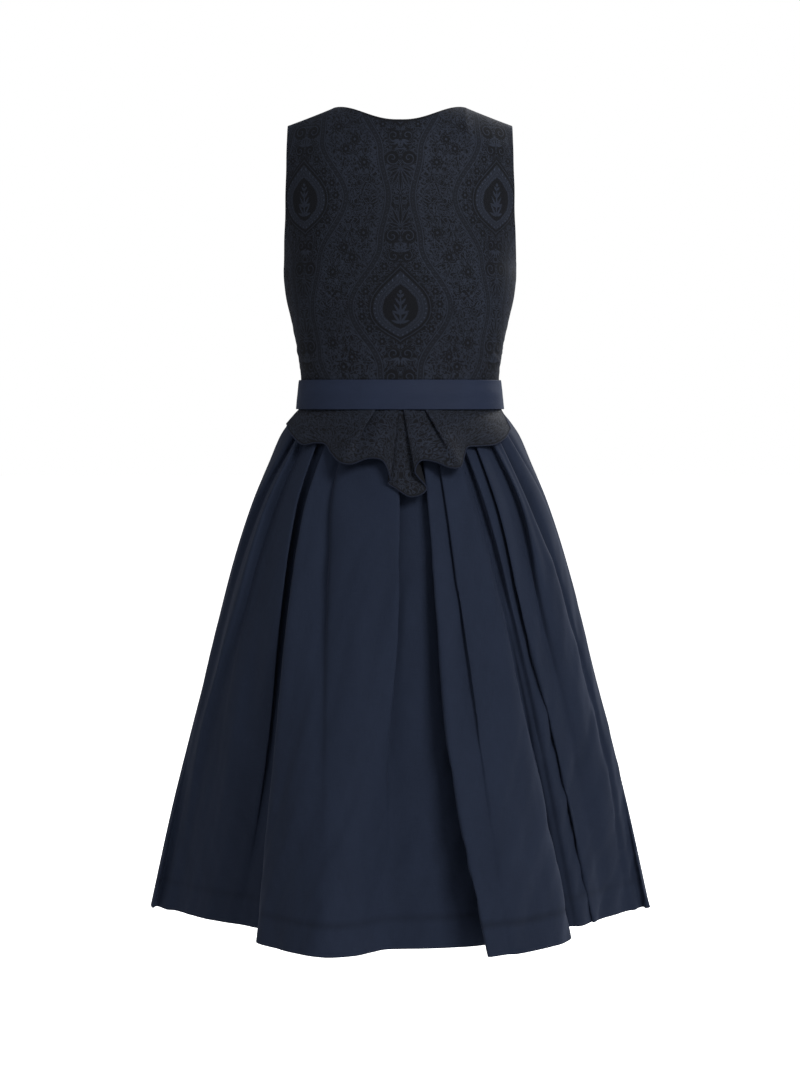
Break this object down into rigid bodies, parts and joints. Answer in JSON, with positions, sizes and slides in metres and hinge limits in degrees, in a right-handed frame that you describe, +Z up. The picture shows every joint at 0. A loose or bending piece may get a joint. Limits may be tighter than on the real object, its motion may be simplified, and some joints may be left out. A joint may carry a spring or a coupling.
{
  "type": "dirndl dress",
  "caption": "Sleeveless dirndl in its worn hollow form: jacquard bodice with round neck, fluted back peplum, plain waistband and a long pleated skirt",
  "frame": {"origin": "midway between the two shoulder seams, where the wearer's shoulders carry the dress", "axes": "+Z up along the body, the front faces -Y, the back faces +Y, the wearer's right is +X"},
  "size_m": [0.6832, 0.5904, 1.0908],
  "materials": {
    "jacquard": "near-black and navy figured jacquard, matt ground with a faint sheen on the figures",
    "satin": "plain navy satin-faced band, low sheen",
    "skirt_cloth": "matt navy plain weave with a slight slub"
  },
  "bodies": {
    "root": {"bodice_back": "jacquard", "bodice_front_right": "jacquard", "bodice_front_left": "jacquard", "waistband": "satin", "peplum": "jacquard", "skirt_back": "skirt_cloth", "skirt_front": "skirt_cloth"}
  },
  "joints": []
}
